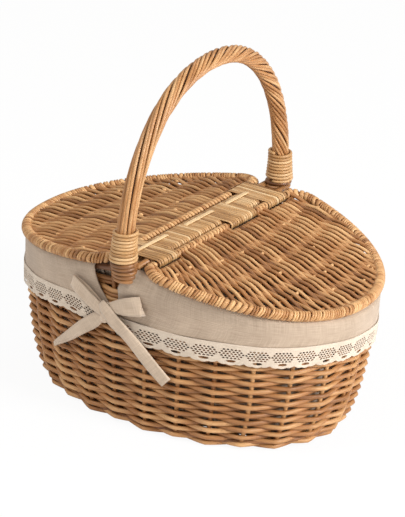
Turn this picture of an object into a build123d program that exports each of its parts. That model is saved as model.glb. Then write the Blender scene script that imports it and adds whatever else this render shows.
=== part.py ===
from build123d import *
from math import asin, atan, copysign, cos, hypot, pi, sin, sqrt
import os

os.makedirs("parts", exist_ok=True)

# Oval picnic basket of woven willow with two lids hinged on a crossbar under a tall bow handle.
# X runs along the basket, Y across it through both handle feet, Z up from the surface it stands on.

# Driving dimensions, in millimetres
lid_half_length = 200.0
lid_half_width = 148.0
oval_power = 2.14
ridge_height = 191.7
nose_height = 154.2
handle_top = 378.0
base_half_length = 158.0
base_half_width = 109.0
waist_half_length = 191.5
waist_half_width = 128.0
waist_height = 149.0
wall_curve = 1.84
upper_flare = 0.2
stake_count = 26
course_height = 4.7
rod_radius = 1.7
course_gap = 0.3

# The lids lie in two planes that fall from the crossbar to the noses
lid_slope = (ridge_height - nose_height) / lid_half_length
lid_angle = atan(lid_slope)
hoop_radius = 5.5
hoop_half_length = lid_half_length - hoop_radius
hoop_half_width = lid_half_width - hoop_radius
fabric = 1.5
lid_rest_gap = 0.3
border_radius = 3.6
border_drop = hoop_radius + lid_rest_gap + fabric + border_radius

# Crossbar and hinges
bar_rod_radius = 3.5
bar_rod_offset = 11.0
hinge_offset = 22.5
hinge_height = ridge_height - lid_slope * hinge_offset
running_gap = 0.08
cane = 1.3

# Handle
handle_half_span = 144.45
handle_spring_height = 195.4
handle_power = 2.18
handle_rod_radius = 2.6
handle_rod_ring = 6.95
handle_rod_count = 8
handle_twist = 1.1 * pi
splay_height = 34.0
splay = 2.0


def oval(half_length, half_width, angle):
    """A point of a slightly squared ellipse."""
    power = 2 / oval_power
    x = half_length * copysign(abs(cos(angle)) ** power, cos(angle))
    y = half_width * copysign(abs(sin(angle)) ** power, sin(angle))
    return (x, y)


def oval_reach(half_length, half_width, across):
    """How far the oval reaches along its length at a given distance across it."""
    share = min(1.0, abs(across) / half_width)
    return half_length * (1 - share**oval_power) ** (1 / oval_power)


def wall_axes(z):
    """Half length and half width of the wall's middle line at a height."""
    share = min(1.0, max(0.0, z / waist_height))
    swell = (1 - (1 - share) ** wall_curve) ** (1 / wall_curve)
    half_length = base_half_length + (waist_half_length - base_half_length) * swell
    half_width = base_half_width + (waist_half_width - base_half_width) * swell
    return half_length, half_width + upper_flare * max(0.0, z - waist_height)


def even_angles(count):
    """Angles that space points evenly round the waist, half a step off the handle."""
    fine = 3600
    points = [oval(waist_half_length, waist_half_width, 2 * pi * i / fine - pi / 2) for i in range(fine + 1)]
    runs = [0.0]
    for (x0, y0), (x1, y1) in zip(points, points[1:]):
        runs.append(runs[-1] + hypot(x1 - x0, y1 - y0))
    angles = []
    for k in range(count):
        wanted = runs[-1] * (k + 0.5) / count
        place = next(i for i, run in enumerate(runs) if run >= wanted)
        angles.append(2 * pi * place / fine - pi / 2)
    return angles


stake_angles = even_angles(stake_count)
rod_swing = 3.6
stake_half_width = 2.0
stake_half_depth = 1.4


def swing_at(z):
    """How far a course stands off the stakes' middle, more where the wall leans out."""
    step = course_height / 2
    lean = (wall_axes(z + step)[0] - wall_axes(max(0.0, z - step))[0]) / (2 * step)
    return rod_swing + lean * step


def wall_facing(angle):
    """The direction that the wall faces at an angle, square to the waist's outline."""
    x, y = oval(waist_half_length, waist_half_width, angle)
    along = copysign(abs(x / waist_half_length) ** (oval_power - 1), x) / waist_half_length
    across = copysign(abs(y / waist_half_width) ** (oval_power - 1), y) / waist_half_width
    length = hypot(along, across)
    return (along / length, across / length)


def wall_point(angle, z, out=0.0):
    """A point of the wall's middle line, moved out or in by a distance."""
    half_length, half_width = wall_axes(z)
    x, y = oval(half_length, half_width, angle)
    facing = wall_facing(angle)
    return (x + out * facing[0], y + out * facing[1])


def lid_plane(side):
    """The plane of one lid's middle, its X running down the slope away from the crossbar."""
    return Plane(
        origin=(0, 0, ridge_height),
        x_dir=(side * cos(lid_angle), 0, -sin(lid_angle)),
        z_dir=(side * sin(lid_angle), 0, cos(lid_angle)),
    )


def tangent_arcs(route, start, end, spans):
    """Pairs of arcs, each tangent to the next, along a route that is a function of one number."""
    step = (end - start) / spans
    nudge = step / 1000
    places = [Vector(*route(start + i * step)) for i in range(spans + 1)]
    headings = []
    for i in range(spans + 1):
        after = Vector(*route(start + i * step + nudge))
        before = Vector(*route(start + i * step - nudge))
        headings.append((after - before).normalized())
    for here, there, leaving, arriving in zip(places, places[1:], headings, headings[1:]):
        chord = there - here
        both = leaving + arriving
        bend = 2 * (1 - leaving.dot(arriving))
        if bend < 1e-9:
            Line(here, there)
            continue
        along = chord.dot(both)
        reach = (sqrt(along**2 + bend * chord.dot(chord)) - along) / bend
        first = here + leaving * reach
        second = there - arriving * reach
        middle = (first + second) * 0.5
        TangentArc(here, middle, tangent=leaving)
        TangentArc(middle, there, tangent=(second - first).normalized())


def least_gap(route, start, end, turns, tube_radius):
    """The least gap between neighbouring turns of a winding, measured on points."""
    per_turn = 48
    count = int(turns * per_turn)
    points = [Vector(*route(start + (end - start) * i / count)) for i in range(count + 1)]
    least = 1e9
    for i, here in enumerate(points):
        for there in points[i + per_turn // 2 :]:
            least = min(least, (here - there).length)
    return least - 2 * tube_radius


def write(node, name):
    """Label a finished piece and write it."""
    node.part.label = name
    export_step(node.part, f"parts/{name}.step")


# Woven base

rib_half_height = 1.4
rib_half_width = 2.4
strand_half_height = 1.6


def strand_swing(spacing):
    """How far a strand stands off the panel's middle where it crosses a rib."""
    swing = rib_half_height + strand_half_height
    slope = 2 * swing / spacing
    return swing + slope * rib_half_width + 0.05


def strand(start, end, ribs, swing, over_first):
    """The side view of one strand of a woven panel: a zigzag band over and under the ribs."""
    slope = 2 * swing / (ribs[1] - ribs[0])

    def height(x):
        nearest = min(range(len(ribs)), key=lambda k: abs(x - ribs[k]))
        above = (nearest % 2 == 0) == over_first
        stand = max(0.0, swing - slope * abs(x - ribs[nearest]))
        return stand if above else -stand

    middle = [(x, height(x)) for x in [start] + [x for x in ribs if start < x < end] + [end]]
    top = [(x, h + strand_half_height) for x, h in middle]
    bottom = [(x, h - strand_half_height) for x, h in reversed(middle)]
    return top + bottom


base_panel_height = 8.0
foot_height = 8.0
foot_thickness = 8.0
base_rib_spacing = 40.0
base_ribs_each_side = 3
base_strand_pitch = 8.0
base_strand_width = 7.6
base_panel_half_length = base_half_length - foot_thickness / 2 + 2
base_panel_half_width = base_half_width - foot_thickness / 2 + 2

base_rib_places = [base_rib_spacing * k for k in range(-base_ribs_each_side, base_ribs_each_side + 1)]
with BuildPart() as base_ribs:
    for x in base_rib_places:
        half_reach = oval_reach(base_panel_half_width, base_panel_half_length, x)
        with Locations((x, 0, base_panel_height)):
            Box(2 * rib_half_width, 2 * half_reach, 2 * rib_half_height)
write(base_ribs, "base_ribs")

base_swing = strand_swing(base_rib_spacing)
base_strands_each_side = int((base_panel_half_width - 8) / base_strand_pitch)
with BuildPart() as base_weave:
    for k in range(-base_strands_each_side, base_strands_each_side + 1):
        across = k * base_strand_pitch
        reach = oval_reach(base_panel_half_length, base_panel_half_width, abs(across) + base_strand_width / 2)
        outline = strand(-reach, reach, base_rib_places, base_swing, k % 2 == 0)
        with BuildSketch(Plane((0, across, base_panel_height), x_dir=(1, 0, 0), z_dir=(0, -1, 0))):
            Polygon(*outline, align=None)
    extrude(amount=base_strand_width / 2, both=True)
write(base_weave, "base_weave")

# Foot border that the basket stands on

with BuildPart() as foot_border:
    with BuildSketch():
        with BuildLine():
            Polyline(*[wall_point(a, 0, foot_thickness / 2 + 1) for a in stake_angles], close=True)
        make_face()
        with BuildLine():
            Polyline(*[wall_point(a, 0, -foot_thickness / 2) for a in stake_angles], close=True)
        make_face(mode=Mode.SUBTRACT)
    extrude(amount=foot_height)
write(foot_border, "foot_border")

# Side stakes

stake_levels = [foot_height - 3, 20.0, 40.0, 70.0, 105.0, waist_height]


def lid_middle(x):
    """Height of the lids' middle plane at a distance from the crossbar."""
    return ridge_height - lid_slope * abs(x)


def border_middle(angle):
    """A point of the rim border's middle line."""
    z = waist_height
    for _ in range(12):
        x, y = wall_point(angle, z)
        z = lid_middle(x) - border_drop / cos(lid_angle)
    return (x, y, z)


with BuildPart() as side_stakes:
    stakes = []
    for angle in stake_angles:
        top = border_middle(angle)[2]
        levels = [z for z in stake_levels if z < top - 4] + [top]
        for z in levels:
            x, y = wall_point(angle, z)
            with BuildSketch(Plane((x, y, z), x_dir=(*wall_facing(angle), 0), z_dir=(0, 0, 1))):
                Rectangle(2 * stake_half_depth, 2 * stake_half_width)
        stakes.append(loft(ruled=True, mode=Mode.PRIVATE))
    add(stakes)
write(side_stakes, "side_stakes")

# Woven courses of the wall, each a rod that passes outside one stake and inside the next

nose_border_bottom = lid_middle(waist_half_length) - (border_drop + border_radius) / cos(lid_angle)
course_count = int((nose_border_bottom - foot_height) / course_height)


def stake_point(angle, z, out):
    """A point at a stake, on the stake's own straight runs, moved out by a distance."""
    levels = stake_levels + [ridge_height]
    low = max(level for level in levels if level <= max(z, levels[0]))
    high = min(level for level in levels if level > low)
    share = (z - low) / (high - low)
    x0, y0 = wall_point(angle, low, out)
    x1, y1 = wall_point(angle, high, out)
    return (x0 + (x1 - x0) * share, y0 + (y1 - y0) * share)


def course(number):
    """The plan of a whole course: a zigzag ring one rod thick."""
    z = foot_height + course_height * number
    middle = z + course_height / 2
    swing = swing_at(middle)
    swings = [swing if (k + number) % 2 == 0 else -swing for k in range(stake_count)]
    outer = [stake_point(a, middle, s + rod_radius) for a, s in zip(stake_angles, swings)]
    inner = [stake_point(a, middle, s - rod_radius) for a, s in zip(stake_angles, swings)]
    with BuildSketch(Plane.XY.offset(z)) as plan:
        with BuildLine():
            Polyline(*outer, close=True)
        make_face()
        with BuildLine():
            Polyline(*inner, close=True)
        make_face(mode=Mode.SUBTRACT)
    return plan.sketch


with BuildPart() as side_weave_lower:
    for number in range(0, course_count // 3):
        add(course(number))
    extrude(amount=course_height - course_gap)
write(side_weave_lower, "side_weave_lower")

with BuildPart() as side_weave_middle:
    for number in range(course_count // 3, 2 * course_count // 3):
        add(course(number))
    extrude(amount=course_height - course_gap)
write(side_weave_middle, "side_weave_middle")

with BuildPart() as side_weave_upper:
    for number in range(2 * course_count // 3, course_count):
        add(course(number))
    extrude(amount=course_height - course_gap)
write(side_weave_upper, "side_weave_upper")

# Short courses that fill the wall up to the sloping rim beside each handle foot

foot_slot = 12.5
foot_bottom = foot_height + course_height * (course_count + 3)


def short_course(number, side):
    """The plan of one short course between a handle foot and the falling rim, on both sides of the foot."""
    z = foot_height + course_height * number
    middle = z + course_height / 2
    reach = (ridge_height - (border_drop + border_radius) / cos(lid_angle) - z - course_height) / lid_slope
    angles = [a for a in stake_angles if side * wall_point(a, z)[1] > 0 and abs(wall_point(a, z)[0]) < reach]
    angles = sorted(angles, key=lambda a: wall_point(a, z)[0])
    swing = swing_at(middle) + 0.1
    swings = [swing if (k + number) % 2 == 0 else -swing for k in range(len(angles))]
    outer = [stake_point(a, middle, s + rod_radius) for a, s in zip(angles, swings)]
    inner = [stake_point(a, middle, s - rod_radius) for a, s in zip(angles, swings)]
    with BuildSketch(Plane.XY.offset(z)) as plan:
        with BuildLine():
            Polyline(*outer, *reversed(inner), close=True)
        make_face()
        if z > foot_bottom - 1:
            with Locations((0, side * waist_half_width)):
                Rectangle(2 * foot_slot, 60, mode=Mode.SUBTRACT)
    return plan.sketch


def short_courses(side):
    """All the short courses beside one handle foot."""
    highest = lid_middle(30) - (border_drop + border_radius) / cos(lid_angle)
    with BuildPart() as courses:
        for number in range(course_count, int((highest - foot_height) / course_height)):
            add(short_course(number, side))
        extrude(amount=course_height - course_gap)
    return courses.part


with BuildPart() as near_short_courses:
    add(short_courses(-1))
write(near_short_courses, "near_short_courses")

with BuildPart() as far_short_courses:
    add(short_courses(1))
write(far_short_courses, "far_short_courses")

# Rim border, one rolled rod over the stakes' tops on each side of the handle


def round_rod(route, start, end, spans, radius):
    """A round rod swept along a route."""
    with BuildPart() as rod:
        with BuildLine() as middle:
            tangent_arcs(route, start, end, spans)
        with BuildSketch(Plane(middle.line @ 0, z_dir=middle.line % 0)):
            Circle(radius)
        sweep()
    return rod.part


border_start = asin((1 - (foot_slot / waist_half_length) ** oval_power) ** 0.5)

with BuildPart() as right_rim_border:
    add(round_rod(border_middle, -border_start, border_start, 10, border_radius))
write(right_rim_border, "right_rim_border")

with BuildPart() as left_rim_border:
    add(right_rim_border.part.rotate(Axis.Z, 180))
write(left_rim_border, "left_rim_border")

# Bow handle: a core stick with rods twisted round it

handle_rise = handle_top - handle_rod_ring - handle_rod_radius - handle_spring_height


def handle_middle(turn):
    """A point of the handle's middle line, from the near foot at 0 to the far foot at pi."""
    power = 2 / handle_power
    y = -handle_half_span * copysign(abs(cos(turn)) ** power, cos(turn))
    z = handle_spring_height + handle_rise * copysign(abs(sin(turn)) ** power, sin(turn))
    return (0.0, y, z)


with BuildPart() as handle_core:
    add(round_rod(handle_middle, 0, pi, 14, handle_rod_ring - handle_rod_radius - 0.3))
write(handle_core, "handle_core")

handle_stations = 30
handle_rod_sides = 6


def rod_ring(z):
    """Radius of the ring of rods round the core, which spreads towards the feet."""
    share = max(0.0, 1 - (z - handle_spring_height) / splay_height)
    return handle_rod_ring + splay * share**2


def handle_rod(number):
    """One rod twisted round the core."""
    with BuildPart() as rod:
        for k in range(handle_stations + 1):
            turn = pi * k / handle_stations
            here = Vector(*handle_middle(turn))
            ahead = Vector(*handle_middle(turn + 0.001)) - Vector(*handle_middle(turn - 0.001))
            across = ahead.normalized().cross(Vector(1, 0, 0))
            way = 2 * pi * number / handle_rod_count + handle_twist * k / handle_stations
            out = Vector(1, 0, 0) * cos(way) + across * sin(way)
            with BuildSketch(Plane(here + out * rod_ring(here.Z), x_dir=out, z_dir=ahead)):
                RegularPolygon(handle_rod_radius, handle_rod_sides)
        loft(ruled=True)
    return rod.part


with BuildPart() as handle_rods:
    add([handle_rod(number) for number in range(handle_rod_count)])
write(handle_rods, "handle_rods")


def handle_foot(side):
    """The foot below the rods, flattened where it is driven down into the wall."""
    with BuildPart() as foot:
        with BuildSketch(Plane((0, side * handle_half_span, handle_spring_height))):
            Circle(handle_rod_ring + splay + handle_rod_radius)
        with BuildSketch(Plane((0, side * (waist_half_width + 6), foot_bottom))):
            Ellipse(10, 6.5)
        loft()
    return foot.part


with BuildPart() as near_handle_foot:
    add(handle_foot(-1))
write(near_handle_foot, "near_handle_foot")

with BuildPart() as far_handle_foot:
    add(handle_foot(1))
write(far_handle_foot, "far_handle_foot")

# Cane collars wound round the handle feet, each one unbroken length

collar_turns = 9
collar_bottom = 194.8
collar_height = 31.5
collar_cane_radius = 1.5


def collar_route(share):
    """The middle of the near collar's cane, from its lowest turn up."""
    z = collar_bottom + collar_height * share
    rise = max(0.0, z - handle_spring_height) / handle_rise
    turn = asin(rise ** (handle_power / 2))
    centre = handle_middle(turn)[1]
    radius = rod_ring(max(z, handle_spring_height)) + handle_rod_radius + collar_cane_radius + 0.35
    way = 2 * pi * collar_turns * share + pi / 2
    return (radius * cos(way), centre + radius * sin(way), z)


with BuildPart() as near_collar_winding:
    add(round_rod(collar_route, 0, 1, 4 * collar_turns, collar_cane_radius))
write(near_collar_winding, "near_collar_winding")
print("collar turns' least gap", round(least_gap(collar_route, 0, 1, collar_turns, collar_cane_radius), 2))

with BuildPart() as far_collar_winding:
    add(near_collar_winding.part.rotate(Axis.Z, 180))
write(far_collar_winding, "far_collar_winding")

# Crossbar between the handle feet, bound with flat cane

bar_end = 136.0
bar_top = hinge_height + bar_rod_radius + cane
end_loop = (84.0, 119.0)
middle_loop = (12.0, 60.0)


def bar_plane(y):
    """A plane across the crossbar, its X along the basket."""
    return Plane((0, y, hinge_height), x_dir=(1, 0, 0), z_dir=(0, -1, 0))


with BuildPart() as crossbar_rods:
    with BuildSketch(bar_plane(0)):
        with Locations((bar_rod_offset, 0), (-bar_rod_offset, 0)):
            Circle(bar_rod_radius)
    extrude(amount=bar_end, both=True)
write(crossbar_rods, "crossbar_rods")


def wrap(from_x, to_x, gap, low, high):
    """A flat band of cane turns round the rods between two places across the crossbar."""
    with BuildPart() as band:
        with BuildSketch(bar_plane(high)):
            with Locations(((from_x + to_x) / 2, 0)):
                SlotCenterToCenter(to_x - from_x, 2 * (bar_rod_radius + cane))
                SlotCenterToCenter(to_x - from_x, 2 * (bar_rod_radius + gap), mode=Mode.SUBTRACT)
        extrude(amount=high - low)
    return band.part


with BuildPart() as crossbar_binding:
    add(wrap(-bar_rod_offset, bar_rod_offset, 0, -end_loop[0], middle_loop[0]))
    add(wrap(-bar_rod_offset, bar_rod_offset, 0, middle_loop[1], end_loop[0]))
write(crossbar_binding, "crossbar_binding")

with BuildPart() as end_hinge_loops:
    add(wrap(-hinge_offset, hinge_offset, running_gap, -end_loop[1], -end_loop[0]))
    add(wrap(-hinge_offset, hinge_offset, running_gap, end_loop[0], end_loop[1]))
write(end_hinge_loops, "end_hinge_loops")

with BuildPart() as middle_hinge_loop:
    add(wrap(-bar_rod_offset, hinge_offset, running_gap, *middle_loop))
write(middle_hinge_loop, "middle_hinge_loop")

listing_width = 5.0
listing_place = -6.0
listing_stretches = [(-112.0, -57.0), (-24.0, 27.0), (53.0, 93.0)]

with BuildPart() as crossbar_listing:
    for low, high in listing_stretches:
        with Locations((listing_place, (low + high) / 2, bar_top + cane / 2)):
            Box(listing_width, high - low, cane)
write(crossbar_listing, "crossbar_listing")

# Lids

corner_start = 45.0
corner_draw = 14.0
lid_rib_places = [45.0, 78.0, 111.0, 144.0, 177.0]
lid_strand_pitch = 7.0
lid_strand_width = 6.6
lid_strands_each_side = 18
hinge_stick_end = 132.0


def hoop_middle(angle):
    """A point of the right lid's hoop, whose corners are drawn in towards the hinge."""
    x, y = oval(hoop_half_length, hoop_half_width, angle)
    drawn = corner_draw * (max(0.0, corner_start - x) / (corner_start - 20)) ** 2
    return (x, y - copysign(drawn, y), lid_middle(x))


def hoop_width(x):
    """How far the hoop reaches across the lid at a distance from the crossbar."""
    reach = oval_reach(hoop_half_width, hoop_half_length, x)
    return reach - corner_draw * (max(0.0, corner_start - x) / (corner_start - 20)) ** 2


hoop_start = asin((1 - (hinge_offset / hoop_half_length) ** oval_power) ** 0.5)

with BuildPart() as right_lid_hoop:
    add(round_rod(hoop_middle, -hoop_start, hoop_start, 14, hoop_radius))
write(right_lid_hoop, "right_lid_hoop")

with BuildPart() as right_lid_hinge_stick:
    with BuildSketch(Plane((hinge_offset, 0, hinge_height), x_dir=(1, 0, 0), z_dir=(0, -1, 0))):
        Circle(bar_rod_radius)
    extrude(amount=hinge_stick_end, both=True)
write(right_lid_hinge_stick, "right_lid_hinge_stick")

with BuildPart(lid_plane(1)) as right_lid_ribs:
    for x in lid_rib_places:
        with Locations((x / cos(lid_angle), 0, 0)):
            Box(2 * rib_half_width, 2 * hoop_width(x), 2 * rib_half_height)
write(right_lid_ribs, "right_lid_ribs")


def beside_loop(across, loops):
    """Whether a strand at this place across the lid would meet a hinge loop."""
    edge = lid_strand_width / 2 + 1
    return any(low - edge < across < high + edge for low, high in loops)


lid_swing = strand_swing(lid_rib_places[1] - lid_rib_places[0])


def lid_weave(loops):
    """The strands of the right lid, each a pair of rods, from the hinge stick to the hoop."""
    plane = lid_plane(1)
    slope_ribs = [x / cos(lid_angle) for x in lid_rib_places]
    with BuildPart() as strands:
        for k in range(-lid_strands_each_side, lid_strands_each_side + 1):
            across = k * lid_strand_pitch
            edge = abs(across) + lid_strand_width / 2
            end = oval_reach(hoop_half_length, hoop_half_width, edge) / cos(lid_angle)
            start = (hinge_offset + 6.5 if beside_loop(across, loops) else hinge_offset) / cos(lid_angle)
            outline = strand(start, end, slope_ribs, lid_swing, k % 2 == 0)
            origin = plane.from_local_coords((0, across, 0))
            with BuildSketch(Plane(origin, x_dir=plane.x_dir, z_dir=-plane.y_dir)):
                Polygon(*outline, align=None)
        extrude(amount=lid_strand_width / 2, both=True)
    return strands.part


end_loops = [end_loop, (-end_loop[1], -end_loop[0])]

with BuildPart() as right_lid_weave:
    add(lid_weave(end_loops + [middle_loop]))
write(right_lid_weave, "right_lid_weave")

with BuildPart() as left_lid_weave:
    add(lid_weave(end_loops).rotate(Axis.Z, 180))
write(left_lid_weave, "left_lid_weave")

with BuildPart() as left_lid_hoop:
    add(right_lid_hoop.part.rotate(Axis.Z, 180))
write(left_lid_hoop, "left_lid_hoop")

with BuildPart() as left_lid_hinge_stick:
    add(right_lid_hinge_stick.part.rotate(Axis.Z, 180))
write(left_lid_hinge_stick, "left_lid_hinge_stick")

with BuildPart() as left_lid_ribs:
    add(right_lid_ribs.part.rotate(Axis.Z, 180))
write(left_lid_ribs, "left_lid_ribs")

# Cloth liner, open at the top, with its edge cut to the two slopes of the rim

liner_gap = 0.4
liner_thickness = 1.2
liner_floor = base_panel_height + base_swing + strand_half_height + 0.3
liner_levels = [20.0, 40.0, 70.0, 105.0, waist_height, ridge_height - 1]
fabric_top = hoop_radius + lid_rest_gap


def liner_outside(z):
    """Where the liner's outer face stands, just inside the courses."""
    return -(swing_at(z) + rod_radius + liner_gap)


def slope_plane(side, drop):
    """A plane parallel to one lid, below its middle by a distance."""
    return lid_plane(side).offset(-drop)


with BuildPart() as liner:
    for z in [liner_floor] + liner_levels:
        with BuildSketch(Plane.XY.offset(z)):
            Polygon(*[stake_point(a, z, liner_outside(z)) for a in stake_angles], align=None)
    loft(ruled=True)
    for z in [liner_floor + liner_thickness] + liner_levels:
        inside = liner_outside(z) - liner_thickness
        with BuildSketch(Plane.XY.offset(z)):
            Polygon(*[stake_point(a, z, inside) for a in stake_angles], align=None)
    loft(ruled=True, mode=Mode.SUBTRACT)
    split(bisect_by=slope_plane(1, fabric_top), keep=Keep.BOTTOM)
    split(bisect_by=slope_plane(-1, fabric_top), keep=Keep.BOTTOM)
write(liner, "liner")

# Cloth cuffs turned down over the rim, split at the handle feet, with a lace trim on each hem

hem_height = 124.0
skirt_inside = rod_swing + rod_radius + 0.4
skirt_outside = skirt_inside + fabric
lace_top = 128.0
lace_bottom = 96.0
lace_thickness = 1.0


def half_wrap(levels, inside, outside):
    """A sheet round the right half of the wall, from one handle foot to the other."""
    angles = sorted((a + pi) % (2 * pi) - pi for a in stake_angles if cos(a) > 0)
    with BuildPart() as sheet:
        for z in levels:
            outer = [stake_point(a, z, outside) for a in angles]
            inner = [stake_point(a, z, inside) for a in reversed(angles)]
            with BuildSketch(Plane.XY.offset(z)):
                Polygon(*outer, *inner, align=None)
        loft(ruled=True)
    return sheet.part


with BuildPart() as right_cuff:
    add(half_wrap([130.0, waist_height, ridge_height - 1], -rod_swing - rod_radius, skirt_outside))
    split(bisect_by=slope_plane(1, fabric_top + fabric), keep=Keep.TOP)
    add(half_wrap([hem_height, waist_height, ridge_height - 1], skirt_inside, skirt_outside))
    split(bisect_by=slope_plane(1, fabric_top), keep=Keep.BOTTOM)
write(right_cuff, "right_cuff")

with BuildPart() as left_cuff:
    add(right_cuff.part.rotate(Axis.Z, 180))
write(left_cuff, "left_cuff")

with BuildPart() as right_lace:
    add(half_wrap([lace_bottom, 105.0, lace_top], skirt_outside, skirt_outside + lace_thickness))
write(right_lace, "right_lace")

with BuildPart() as left_lace:
    add(right_lace.part.rotate(Axis.Z, 180))
write(left_lace, "left_lace")

# Cloth ties, knotted in a bow in front of each handle foot

tie_thickness = 1.2
knot_place = (-21.0, 129.0)
knot_stand = 4.0


def wall_front(x, z):
    """How far the near wall's outer face stands from the middle at a place on it."""
    half_length, half_width = wall_axes(z)
    return oval_reach(half_width, half_length, x) + skirt_outside + lace_thickness


def ribbon(route, widths, stands):
    """A flat strip of cloth along places in front of the near wall."""
    places = [Vector(x, -wall_front(x, z) - stand, z) for (x, z), stand in zip(route, stands)]
    with BuildPart() as strip:
        for k, here in enumerate(places):
            before = places[max(0, k - 1)]
            after = places[min(len(places) - 1, k + 1)]
            along = (after - before).normalized()
            across = along.cross(Vector(0, 1, 0)).normalized()
            with BuildSketch(Plane(here, x_dir=across, z_dir=along)):
                Rectangle(widths[k], tie_thickness)
        loft(ruled=True)
    return strip.part


with BuildPart() as near_tie_tails:
    add(ribbon([(-28, 122), (-52, 101), (-74, 83), (-94, 66)], [11, 14, 12, 6], [3, 2, 2, 2]))
    add(ribbon([(-14, 131), (10, 110), (31, 88), (51, 70)], [12, 12, 12, 12], [2, 2, 2, 2]))
write(near_tie_tails, "near_tie_tails")

with BuildPart() as near_tie_loops:
    add(ribbon([(-15, 137), (4, 143), (22, 149)], [10, 19, 22], [5, 8, 5]))
    add(ribbon([(-26, 135), (-46, 142), (-69, 149)], [13, 18, 16], [4, 3, 2]))
write(near_tie_loops, "near_tie_loops")

with BuildPart() as near_tie_knot:
    knot_front = wall_front(*knot_place)
    with Locations((knot_place[0], -knot_front - knot_stand, knot_place[1])):
        Box(16, 8, 24)
    fillet(near_tie_knot.edges(), radius=3.4)
write(near_tie_knot, "near_tie_knot")

with BuildPart() as far_tie_tails:
    add(near_tie_tails.part.rotate(Axis.Z, 180))
write(far_tie_tails, "far_tie_tails")

with BuildPart() as far_tie_loops:
    add(near_tie_loops.part.rotate(Axis.Z, 180))
write(far_tie_loops, "far_tie_loops")

with BuildPart() as far_tie_knot:
    add(near_tie_knot.part.rotate(Axis.Z, 180))
write(far_tie_knot, "far_tie_knot")
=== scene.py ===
import random
from math import asin, atan, copysign, cos, hypot, pi, radians, sin

import bpy
import numpy as np
from mathutils import Matrix, Vector


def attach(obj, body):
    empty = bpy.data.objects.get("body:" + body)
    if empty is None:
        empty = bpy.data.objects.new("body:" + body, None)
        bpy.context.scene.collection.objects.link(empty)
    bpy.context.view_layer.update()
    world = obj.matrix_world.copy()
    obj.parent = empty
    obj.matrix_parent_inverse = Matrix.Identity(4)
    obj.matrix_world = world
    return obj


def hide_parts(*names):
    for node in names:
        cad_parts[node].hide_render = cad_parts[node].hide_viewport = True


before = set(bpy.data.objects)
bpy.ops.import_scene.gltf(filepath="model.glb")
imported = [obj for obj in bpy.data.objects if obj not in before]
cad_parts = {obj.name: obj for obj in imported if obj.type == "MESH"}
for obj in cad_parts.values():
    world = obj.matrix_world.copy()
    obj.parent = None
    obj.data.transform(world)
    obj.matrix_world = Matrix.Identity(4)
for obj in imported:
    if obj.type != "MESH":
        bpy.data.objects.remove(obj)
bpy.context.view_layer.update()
MM = 0.001
random.seed(7)

# Driving dimensions of the basket, in millimetres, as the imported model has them
lid_half_length = 200.0
lid_half_width = 148.0
oval_power = 2.14
ridge_height = 191.7
nose_height = 154.2
handle_top = 378.0
base_half_length = 158.0
base_half_width = 109.0
waist_half_length = 191.5
waist_half_width = 128.0
waist_height = 149.0
wall_curve = 1.84
upper_flare = 0.2
stake_count = 26
course_height = 4.7
foot_height = 8.0
lid_slope = (ridge_height - nose_height) / lid_half_length
lid_angle = atan(lid_slope)
hoop_radius = 5.5
hoop_half_length = lid_half_length - hoop_radius
hoop_half_width = lid_half_width - hoop_radius
corner_start = 45.0
corner_draw = 14.0
bar_rod_radius = 3.5
bar_rod_offset = 11.0
hinge_offset = 22.5
hinge_height = ridge_height - lid_slope * hinge_offset
handle_half_span = 144.45
handle_spring_height = 195.4
handle_power = 2.18
handle_rod_ring = 6.95
handle_rod_radius = 2.6
handle_rise = handle_top - handle_rod_ring - handle_rod_radius - handle_spring_height

# Camera of the photograph, in degrees and millimetres
camera_place = (1722.2, -2716.8, 1549.4)
camera_right = (0.82996982, 0.55490867, 0.05680193)
camera_up = (-0.26555014, 0.3035103, 0.9150763)
camera_focal_pixels = 3386.0
image_height = 517
sensor_height = 36.0


def make_camera():
    """The camera at the photograph's place and angle."""
    data = bpy.data.cameras.new("camera")
    data.lens = camera_focal_pixels * sensor_height / image_height
    data.sensor_width = sensor_height
    data.clip_end = 20
    camera = bpy.data.objects.new("camera", data)
    right, up = Vector(camera_right), Vector(camera_up)
    back = right.cross(up)
    turn = Matrix((right, up, back)).transposed().to_4x4()
    turn.translation = Vector(camera_place) * MM
    camera.matrix_world = turn
    bpy.context.scene.collection.objects.link(camera)
    bpy.context.scene.camera = camera


make_camera()

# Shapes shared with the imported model


def signed_power(value, power):
    return copysign(abs(value) ** power, value)


def run_along(points):
    """The distance along a line of points, from its start to each of them."""
    steps = np.linalg.norm(np.diff(points, axis=0), axis=1)
    return np.concatenate([[0.0], np.cumsum(steps)])


def turn_angles(count):
    """Angles evenly spaced round a full turn."""
    return 2 * pi * np.arange(count) / count


def oval(half_length, half_width, angle):
    """A point of a slightly squared ellipse."""
    power = 2 / oval_power
    return (half_length * signed_power(cos(angle), power), half_width * signed_power(sin(angle), power))


def oval_reach(half_length, half_width, across):
    """How far the oval reaches along its length at a given distance across it."""
    share = min(1.0, abs(across) / half_width)
    return half_length * (1 - share**oval_power) ** (1 / oval_power)


def wall_axes(z):
    """Half length and half width of the wall's middle line at a height."""
    share = min(1.0, max(0.0, z / waist_height))
    swell = (1 - (1 - share) ** wall_curve) ** (1 / wall_curve)
    half_length = base_half_length + (waist_half_length - base_half_length) * swell
    half_width = base_half_width + (waist_half_width - base_half_width) * swell
    return half_length, half_width + upper_flare * max(0.0, z - waist_height)


def even_angles(count):
    """Angles that space points evenly round the waist, from the near handle foot."""
    fine = 3600
    angles = 2 * pi * np.arange(fine + 1) / fine - pi / 2
    runs = run_along([oval(waist_half_length, waist_half_width, angle) for angle in angles])
    wanted = runs[-1] * (np.arange(count) + 0.5) / count
    return list(np.interp(wanted, runs, angles))


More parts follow.
